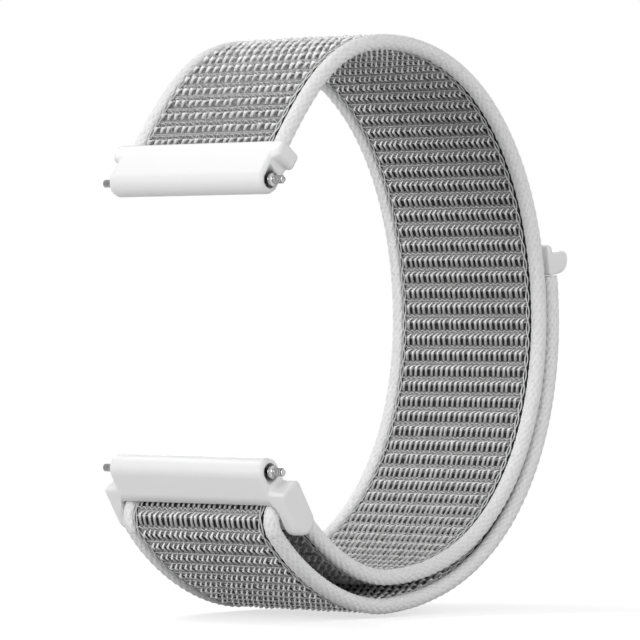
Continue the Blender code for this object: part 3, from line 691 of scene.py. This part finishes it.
class STRAP_OT_build_weave(bpy.types.Operator):
    """Weave the band: ground, filling ribs, low bed yarns and arched yarns on both faces"""
    bl_idname = "strap.build_weave"
    bl_label = "Woven band"

    def execute(self, context):
        s = context.scene.strap_weave
        pitch = s.row_pitch / MM
        grounds = [
            ribbon_material("polyamide_ground_skin_side", s.ground_colour, 0.9, GROUND_GRAIN),
            ribbon_material("polyamide_ground_loop_side", s.loop_ground_colour, 0.9, GROUND_GRAIN, 0.25, 1.45),
        ]
        ribs = [
            ribbon_material("polyamide_filling_rib_skin_side", s.rib_colour, 0.75, RIB_GRAIN),
            ribbon_material("polyamide_filling_rib_loop_side", s.loop_rib_colour, 0.75, RIB_GRAIN),
        ]
        skin = yarn_material("polyamide_skin_yarn", s.skin_colour, 0.24, SKIN_TWIST, gloss=1.0)
        bed = yarn_material("polyamide_bed_yarn", s.bed_colour, 0.7, SKIN_TWIST)
        loop = yarn_material("polyamide_loop_yarn_brushed", s.loop_colour, 0.34, LOOP_TWIST, gloss=1.0)
        thread = yarn_material("polyamide_cross_thread", s.thread_colour, 0.4, STITCH_TWIST, gloss=1.0)
        # Painted shade: a near-black strip stands in for the shadow in each channel
        channel = ribbon_material("painted_shade_edge_channel", s.channel_shade_colour, 0.9, GROUND_GRAIN)
        nodes = {
            "band": ["strap_weave_upper", "strap_weave_lower"],
            "fold": ["strap_fold_weave"],
            "flap": ["flap_weave"],
        }
        for index, (name, (start, end)) in enumerate(STRETCHES.items()):
            settle(name, self.ground(name, start, end, grounds), nodes[name])
            skin_rows = rows_in(start, end, pitch, s.skin_phase / MM)
            loop_rows = rows_in(start, end, pitch)
            skin_last = skin_rows[skin_rows + pitch < ROUTE.end]
            loop_last = loop_rows[loop_rows + pitch < ROUTE.end]
            seed = FIRST_SEED + index * SEEDS_A_STRETCH
            yarns = (
                ("skin_yarns", skin, skin_last, s.skin_yarns, s.skin_width / MM, s.skin_lift / MM, SKIN_FLOAT),
                ("bed_yarns", bed, skin_last, s.skin_yarns - 1, BED_WIDTH, BED_LIFT, BED_FLOAT),
                ("loop_yarns", loop, loop_last, s.loop_yarns, s.loop_width / MM, s.loop_lift / MM, LOOP_FLOAT),
            )
            for shift, (part, mat, *yarn) in enumerate(yarns):
                arches = floats(*yarn, seed + shift)
                settle(name, strand_mesh(f"{name}_{part}", mat, *arches, flip=part != "loop_yarns"))
            for side, rows, low, sign, wide in (
                ("skin", skin_rows, SKIN_RIB_PLACE, -1, s.rib_width / MM),
                ("loop", loop_rows, LOOP_RIB_PLACE, 1, LOOP_RIB_WIDTH),
            ):
                rows = rows[rows + low > start]
                settle(name, self.ribs(f"{name}_{side}_ribs", rows, low, wide, sign, ribs[sign > 0], seed + 4))
            settle(name, self.threads(f"{name}_cross_threads", skin_rows, loop_rows, s, start, thread, seed + 5))
            settle(name, self.channels(f"{name}_edge_shade_strips", start, end, channel))
            if name != "flap":
                settle(name, self.fibres(f"{name}_brushed_fibres", loop_last, pitch, loop, seed + 6))
        return {"FINISHED"}

    def ground(self, name, start, end, mats):
        """Make the closed ribbon under the yarns, dark on the skin side and grey on the loop side."""
        run = even_steps(start, end, GROUND_STEP, 4)
        verts, faces = ribbon(run, WEAVE_HALF, -GROUND_HALF, GROUND_HALF)
        across = [-WEAVE_HALF, WEAVE_HALF, WEAVE_HALF, -WEAVE_HALF]
        uv = np.stack([np.tile(across, len(run)), np.repeat(run, len(across))], axis=1)
        obj = make_mesh(f"{name}_ground_cloth", verts, faces, mats[0], uv, smooth=False)
        obj.data.materials.append(mats[1])
        # Of every four faces the third looks to the loop side, and the last two faces close the ends
        side = np.zeros(len(faces), np.int32)
        side[2:-2:4] = 1
        obj.data.polygons.foreach_set("material_index", side)
        return obj

    def threads(self, name, skin_rows, loop_rows, s, start, mat, seed):
        """Make the thin threads that run across the ribs, over and under between the floats."""
        rng = np.random.default_rng(seed)
        radius = s.thread_width / MM / 2
        angle = circle(4)
        sets = [(skin_rows, s.skin_yarns, SKIN_FLOAT, thread) for thread in SKIN_THREADS]
        sets += [(loop_rows, s.loop_yarns, LOOP_FLOAT, thread) for thread in LOOP_THREADS]
        xs = np.linspace(-WEAVE_HALF + THREAD_END_ROOM, WEAVE_HALF - THREAD_END_ROOM, THREAD_POINTS)
        shapes = []
        for rows, count, shape, (place, bow, high, dive) in sets:
            rows = rows[(rows + place > start) & (rows + place + THREAD_LAST_ROOM < ROUTE.end)]
            grid = (len(rows), len(xs))
            half = WEAVE_HALF - shape.edge
            turn = math.pi * (xs + half) * count / half
            along = rows[:, None] + place + bow * np.cos(turn) + strays(rng, THREAD_RUN_STRAY, grid)
            over = high + dive * np.cos(turn) + strays(rng, THREAD_HEIGHT_STRAY, grid)
            run = along[..., None] + np.cos(angle) * radius
            out = shape.sign * over[..., None] - np.sin(angle) * radius
            shapes.append((run, np.broadcast_to(xs[None, :, None], run.shape), out))
        run, across, out = (np.concatenate(parts) for parts in zip(*shapes))
        return strand_mesh(name, mat, run, across, out, rng.uniform(*THIN_TONES, (*run.shape[:2], 1)))

    def channels(self, name, start, end, mat):
        """Line the deep channel between the weave and each cord with a dark strip of painted shade."""
        run = even_steps(start, end, GROUND_STEP, 4)
        corners = np.array(SHADE_STRIP_CORNERS)
        pair = np.stack([corners, corners[::-1] * (-1, 1)])[:, None]
        shape = (2, len(run), len(corners))
        across, out = (np.broadcast_to(pair[..., axis], shape) for axis in (0, 1))
        return strand_mesh(name, mat, np.broadcast_to(run[None, :, None], shape), across, out)

    def ribs(self, name, rows, low, width, sign, mat, seed):
        """Make the filling yarns between the rows: one closed body a row, ridged and slightly wavy."""
        rng = np.random.default_rng(seed)
        share = np.arange(RIB_SIDES) / RIB_SIDES
        angle = share * 2 * math.pi
        ridge = 1 + RIB_RIDGE_SHARE * np.cos(angle * RIB_RIDGES)
        xs = np.linspace(-WEAVE_HALF + RIB_END_ROOM, WEAVE_HALF - RIB_END_ROOM, RIB_POINTS)
        grid = (len(rows), len(xs), 1)
        starts = rows[:, None, None]
        run = starts + low + width / 2 + np.cos(angle) * width / 2 + strays(rng, RIB_STRAY, grid)
        lift = RIB_HEIGHT * (1 + strays(rng, RIB_HEIGHT_STRAY_SHARE, grid))
        out = RIB_BASE + np.maximum(np.sin(angle), RIB_UNDER_SHARE) * ridge * lift
        across = np.broadcast_to(xs[None, :, None], run.shape)
        around = np.broadcast_to(share * width * 2 + starts * RIB_FLECK_SHIFT, run.shape)
        return strand_mesh(name, mat, run, across, sign * out, flip=sign > 0, uv=(across, around))

    def fibres(self, name, rows, pitch, mat, seed):
        """Make the fine brushed filaments that stand out of the loop side as tiny bows."""
        rng = np.random.default_rng(seed)
        total = len(rows) * FIBRES_A_ROW
        start = rng.choice(rows, total) + rng.uniform(*FIBRE_ROW_SHARES, total) * pitch
        middle = rng.uniform(-1, 1, total) * (WEAVE_HALF - FIBRE_END_ROOM)
        reach = rng.uniform(*FIBRE_REACHES, total)
        turn = rng.uniform(0, 2 * math.pi, total)[:, None]
        high = rng.uniform(*FIBRE_HEIGHTS, total)
        bend = np.linspace(0, math.pi, 5)
        angle = circle(3)
        slide = -np.cos(bend)[None, :] * reach[:, None]
        girth = np.cos(angle) * FIBRE_RADIUS
        run = (start[:, None] + slide * np.sin(turn))[..., None] + girth * np.cos(turn)[..., None]
        across = (middle[:, None] + slide * np.cos(turn))[..., None] - girth * np.sin(turn)[..., None]
        out = (FIBRE_BASE + np.sin(bend)[None, :] * high[:, None])[..., None] + np.sin(angle) * FIBRE_RADIUS
        tone_and_shade = rng.uniform(*THIN_TONES, total)[:, None, None]
        return strand_mesh(name, mat, run, across, out, tone_and_shade, flip=True)


class STRAP_OT_build_cords(bpy.types.Operator):
    """Braid the cord along each edge of the band"""
    bl_idname = "strap.build_cords"
    bl_label = "Edge cords"

    def execute(self, context):
        s = context.scene.strap_trim
        mat = cord_material("polyamide_cord_braided", s.cord_colour, 0.7)
        nodes = {
            "band": ["strap_cord_upper", "strap_cord_lower"],
            "fold": ["strap_fold_cord"],
            "flap": ["flap_cord"],
        }
        pitch = s.braid_pitch / MM
        relief = s.braid_relief / MM
        for name, (start, end) in STRETCHES.items():
            for side, sign in (("left", -1), ("right", 1)):
                obj = self.cord(f"{name}_cord_{side}", start, end, sign, pitch, relief, mat)
                settle(name, obj, [f"{node}_{side}" for node in nodes[name]])
        return {"FINISHED"}

    def cord(self, name, start, end, sign, pitch, relief, mat):
        """Make one stretch of cord whose surface is two sets of crossing strands, with painted shade in the valleys
        between them.
        """
        run = even_steps(start, end, CORD_STEP, 8)
        angle = circle(CORD_SIDES) + (math.pi if sign > 0 else 0)
        phase = 2 * math.pi * run[:, None] / pitch
        one = np.cos((phase + angle * CORD_STRANDS) / 2) ** 2
        two = np.cos((phase - angle * CORD_STRANDS) / 2) ** 2
        crown = np.maximum(one, CORD_UNDER_SHARE * two) ** CORD_CROWN_POWER
        radius = CORD_RADIUS - relief + relief * crown
        across = sign * CORD_OFFSET + np.cos(angle) * radius
        out = np.sin(angle) * radius
        grid = np.broadcast_to(run[:, None], across.shape)
        # Painted shade: the braid's valleys are darker than its crowns
        tone_and_shade = CORD_VALLEY_PAINTED_SHADE + CORD_CROWN_PAINTED_LIGHT * crown
        return strand_mesh(name, mat, grid[None], across[None], out[None], tone_and_shade[None])


class STRAP_OT_build_edge_stitches(bpy.types.Operator):
    """Sew the chain of light stitches between the weave and the cords, on both faces"""
    bl_idname = "strap.build_edge_stitches"
    bl_label = "Edge stitches"

    def execute(self, context):
        s = context.scene.strap_trim
        mat = yarn_material("polyamide_edge_stitch", s.stitch_colour, 0.6, STITCH_TWIST)
        pitch = context.scene.strap_weave.row_pitch / MM
        for name, (start, end) in STRETCHES.items():
            shapes = [self.strand(start, end, sign, face, pitch, s.stitch_width / MM, turn)
                      for turn in (0.0, math.pi) for sign in (-1, 1) for face in (-1, 1)]
            obj = strand_mesh(f"{name}_edge_stitches", mat, *(np.stack(parts) for parts in zip(*shapes)))
            settle(name, obj)
        return {"FINISHED"}

    def strand(self, start, end, sign, face, pitch, width, turn):
        """Return one of the two strands that cross each other once a row beside a cord."""
        run = even_steps(start, end, pitch / STITCH_POINTS_A_ROW, 6)
        phase = math.pi * (run - STITCH_PHASE) / pitch + turn
        angle = circle(5)
        middle = sign * (WEAVE_HALF - STITCH_INSET) + STITCH_SWING * np.sin(phase) * sign
        over = face * (STITCH_HEIGHT + STITCH_DIVE * np.cos(phase))
        across = middle[:, None] + np.cos(angle) * width / 2
        out = over[:, None] + np.sin(angle) * width / 2
        return np.broadcast_to(run[:, None], across.shape), across, out


class STRAP_OT_build_hook_pad(bpy.types.Operator):
    """Make the hook pad: a thin moulded sheet on the folded-back end, set with rows of small hooks"""
    bl_idname = "strap.build_hook_pad"
    bl_label = "Hook pad"

    def execute(self, context):
        s = context.scene.strap_trim
        mat = plastic_material("polyamide_hooks_moulded", s.hook_colour, 0.5)
        backing = plastic_material("polyamide_hook_sheet_moulded", s.sheet_colour, 0.6)
        low = LAYER_PITCH / 2 - PAD_THICKNESS / 2
        end = ROUTE.end - PAD_END_MARGIN
        top = low + SHEET_THICKNESS
        run = np.linspace(end - PAD_LENGTH, end, PAD_POINTS)
        sheet = make_mesh("hook_pad_sheet", *ribbon(run, PAD_HALF_WIDTH, low, top), backing, smooth=False)
        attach(sheet, "flap")
        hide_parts("hook_pad")
        hooks = self.hooks(end, top - HOOK_SINK, s.hook_pitch / MM, mat)
        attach(hooks, "flap")
        return {"FINISHED"}

    def hooks(self, end, low, pitch, mat):
        """Make the rows of hooks: each a stem that bends over at its tip, alternate rows facing apart."""
        rows = np.arange(end - PAD_LENGTH + pitch / 2, end, pitch)
        columns = np.arange(-PAD_HALF_WIDTH + pitch / 2, PAD_HALF_WIDTH, pitch)
        place = np.array([(run, across, 1 if index % 2 else -1) for index, run in enumerate(rows)
                          for across in columns])
        bend, reach, high, thick = np.array(HOOK_PROFILE).T[..., None]
        bend = np.radians(bend)
        angle = circle(6)
        start, middle, facing = place.T[..., None, None]
        run = start + facing * (reach + np.cos(angle) * (thick * np.cos(bend)))
        out = np.broadcast_to(low + high - np.cos(angle) * (thick * np.sin(bend)), run.shape)
        across = middle + np.sin(angle) * thick * facing
        return strand_mesh("hook_pad_hooks", mat, run, across, out)


class STRAP_OT_finish_rigid(bpy.types.Operator):
    """Give the mouldings and the spring bars their finishes"""
    bl_idname = "strap.finish_rigid"
    bl_label = "Mouldings and spring bars"

    def execute(self, context):
        s = context.scene.strap_finish
        plastic = plastic_material("elastomer_satin_moulded", s.plastic_colour, s.plastic_roughness)
        steel = steel_material("stainless_steel_turned", s.steel_colour)
        for name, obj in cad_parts.items():
            if name in ("fixed_connector", "loop_connector", "end_tab"):
                dress(obj, plastic)
            elif "_bar_" in name and not name.endswith("spring"):
                dress(obj, steel)
        return {"FINISHED"}


class STRAP_OT_wind_springs(bpy.types.Operator):
    """Wind the spring inside each spring bar"""
    bl_idname = "strap.wind_springs"
    bl_label = "Springs"

    def execute(self, context):
        s = context.scene.strap_finish
        mat = steel_material("stainless_spring_wire_drawn", s.steel_colour)
        for stem, body, low in (("upper", "band_upper", 0.0), ("lower", "lower_loop", -BAR_SPACING)):
            obj = self.coil(f"{stem}_spring_wire", low, s.wire_width / MM / 2, mat)
            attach(obj, body)
            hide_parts(f"{stem}_bar_spring")
            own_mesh(obj)
        return {"FINISHED"}

    def coil(self, name, low, thick, mat):
        """Make one coil of round wire along the X axis at a height."""
        rings = SPRING_TURNS * SPRING_TURN_POINTS + 1
        reach = SPRING_HALF - thick
        turn = np.linspace(0, SPRING_TURNS * 2 * math.pi, rings)[:, None]
        angle = circle(8)
        radius = SPRING_RADIUS - thick + np.cos(angle) * thick
        along = np.linspace(-reach, reach, rings)[:, None] + np.sin(angle) * thick
        verts = np.stack([along, radius * np.cos(turn), radius * np.sin(turn) + low], axis=-1).reshape(-1, 3) * MM
        return make_mesh(name, verts, strand_faces(1, rings, len(angle)), mat)


def dress(obj, mat):
    """Put one material on a solid and shade its rounded edges smooth."""
    obj.data.materials.clear()
    obj.data.materials.append(mat)
    weld = obj.modifiers.new("joined_corners", "WELD")
    weld.merge_threshold = WELD_REACH * MM
    obj.data.shade_smooth()
    smooth = obj.modifiers.new("smooth_by_angle", "WEIGHTED_NORMAL")
    smooth.keep_sharp = True


class STRAP_OT_build_stage(bpy.types.Operator):
    """Set up the floor, the lights and the camera"""
    bl_idname = "strap.build_stage"
    bl_label = "Stage"

    def execute(self, context):
        s = context.scene.strap_stage
        context.scene.view_settings.view_transform = "Standard"
        self.floor(s)
        self.lights(context, s)
        self.camera(context, s)
        return {"FINISHED"}

    def floor(self, s):
        """Lay a pale paper floor that fades into the white backdrop away from the strap."""
        mat, tree = new_material("paper_backdrop_matt")
        seen = self.seen(tree)
        place = add_node(tree, "ShaderNodeTexCoord")
        reach = add_node(tree, "ShaderNodeVectorMath", {"operation": "LENGTH"}, {0: place.outputs["Object"]})
        fade = add_node(tree, "ShaderNodeMapRange",
                        {"From Min": FLOOR_FADE_START, "From Max": FLOOR_FADE_END, "interpolation_type": "SMOOTHSTEP"},
                        {"Value": reach.outputs["Value"]})
        paper = add_node(tree, "ShaderNodeBsdfDiffuse", {"Color": (*s.floor_colour, 1)})
        lift = add_node(tree, "ShaderNodeMath", {"operation": "MULTIPLY", 1: FLOOR_GLOW}, {0: seen}).outputs[0]
        near = add_node(tree, "ShaderNodeEmission", {"Color": (*s.backdrop_colour, 1)}, {"Strength": lift})
        lit = add_node(tree, "ShaderNodeAddShader", None, {0: paper.outputs[0], 1: near.outputs[0]})
        far = add_node(tree, "ShaderNodeEmission", {"Color": (*s.backdrop_colour, 1), "Strength": 1.0})
        both = add_node(tree, "ShaderNodeMixShader", None,
                        {0: product(tree, fade.outputs[0], seen), 1: lit.outputs[0], 2: far.outputs[0]})
        add_node(tree, "ShaderNodeOutputMaterial", None, {"Surface": both.outputs[0]})
        low = CAD_BOX[0].z - FLOOR_GAP
        bpy.ops.mesh.primitive_plane_add(size=FLOOR_SIDE, location=(0, FLOOR_MIDDLE_Y, low))
        floor = bpy.context.object
        floor.name = "stage_floor"
        floor.data.materials.append(mat)

    def seen(self, tree):
        """Return a socket that is 1 where the camera or a reflection sees the surface."""
        path = add_node(tree, "ShaderNodeLightPath")
        either = add_node(tree, "ShaderNodeMath", {"operation": "MAXIMUM"},
                          {0: path.outputs["Is Camera Ray"], 1: path.outputs["Is Glossy Ray"]})
        every = add_node(tree, "ShaderNodeMath", {"operation": "MAXIMUM"},
                         {0: either.outputs[0], 1: path.outputs["Is Transmission Ray"]})
        return every.outputs[0]

    def lights(self, context, s):
        """Hang a soft light above the left, and low ones in front of the left, on the right and behind."""
        world = bpy.data.worlds.new("studio_white")
        context.scene.world = world
        world.use_nodes = True
        tree = world.node_tree
        tree.nodes.clear()
        strength = add_node(tree, "ShaderNodeMapRange", {"To Min": WORLD_STRENGTH, "To Max": 1.0},
                            {"Value": self.seen(tree)}).outputs[0]
        back = add_node(tree, "ShaderNodeBackground", {"Color": (*s.backdrop_colour, 1)}, {"Strength": strength})
        add_node(tree, "ShaderNodeOutputWorld", None, {"Surface": back.outputs[0]})
        for name, place, side, share in LAMPS:
            data = bpy.data.lights.new(name, "AREA")
            data.energy = s.key_power * share
            data.size = side
            lamp = bpy.data.objects.new(name, data)
            lamp.location = place
            aim = Vector(LAMP_AIM) - Vector(place)
            lamp.rotation_euler = aim.to_track_quat("-Z", "Y").to_euler()
            context.scene.collection.objects.link(lamp)

    def camera(self, context, s):
        """Stand the camera level with the loop's middle, round to the right."""
        middle = Vector(CAMERA_AIM)
        way = Vector((-math.sin(s.camera_turn), math.cos(s.camera_turn), 0))
        data = bpy.data.cameras.new("photo_camera")
        data.sensor_width = 36
        data.lens = s.focal_length
        data.clip_start = 0.01
        data.clip_end = 20
        camera = bpy.data.objects.new("photo_camera", data)
        camera.location = middle - way * s.camera_distance
        camera.rotation_euler = way.to_track_quat("-Z", "Y").to_euler()
        context.scene.collection.objects.link(camera)
        context.scene.camera = camera


class STRAP_PT_panel(bpy.types.Panel):
    """The strap's steps in the sidebar"""
    bl_idname = "STRAP_PT_panel"
    bl_label = "Nylon watch strap"
    bl_space_type = "VIEW_3D"
    bl_region_type = "UI"
    bl_category = "Strap"

    def draw(self, context):
        for step in STEPS:
            self.layout.operator(step.bl_idname)
        for group in SETTINGS:
            box = self.layout.box()
            for key in SETTINGS[group].__annotations__:
                box.prop(getattr(context.scene, group), key)


SETTINGS = {
    "strap_weave": StrapWeaveSettings,
    "strap_trim": StrapTrimSettings,
    "strap_finish": StrapFinishSettings,
    "strap_stage": StrapStageSettings,
}
STEPS = (
    STRAP_OT_build_stage, STRAP_OT_build_weave, STRAP_OT_build_cords, STRAP_OT_build_edge_stitches,
    STRAP_OT_build_hook_pad, STRAP_OT_finish_rigid, STRAP_OT_wind_springs,
)


def register():
    """Register the settings, the steps and the panel."""
    for cls in (*SETTINGS.values(), *STEPS, STRAP_PT_panel):
        bpy.utils.register_class(cls)
    for group, cls in SETTINGS.items():
        setattr(bpy.types.Scene, group, PointerProperty(type=cls))


def unregister():
    """Take the panel, the steps and the settings away again."""
    for group in SETTINGS:
        delattr(bpy.types.Scene, group)
    for cls in (STRAP_PT_panel, *reversed(STEPS), *reversed(SETTINGS.values())):
        bpy.utils.unregister_class(cls)


def main():
    """Run every step."""
    register()
    for step in STEPS:
        group, name = step.bl_idname.split(".")
        getattr(getattr(bpy.ops, group), name)()


if __name__ == "__main__":
    main()
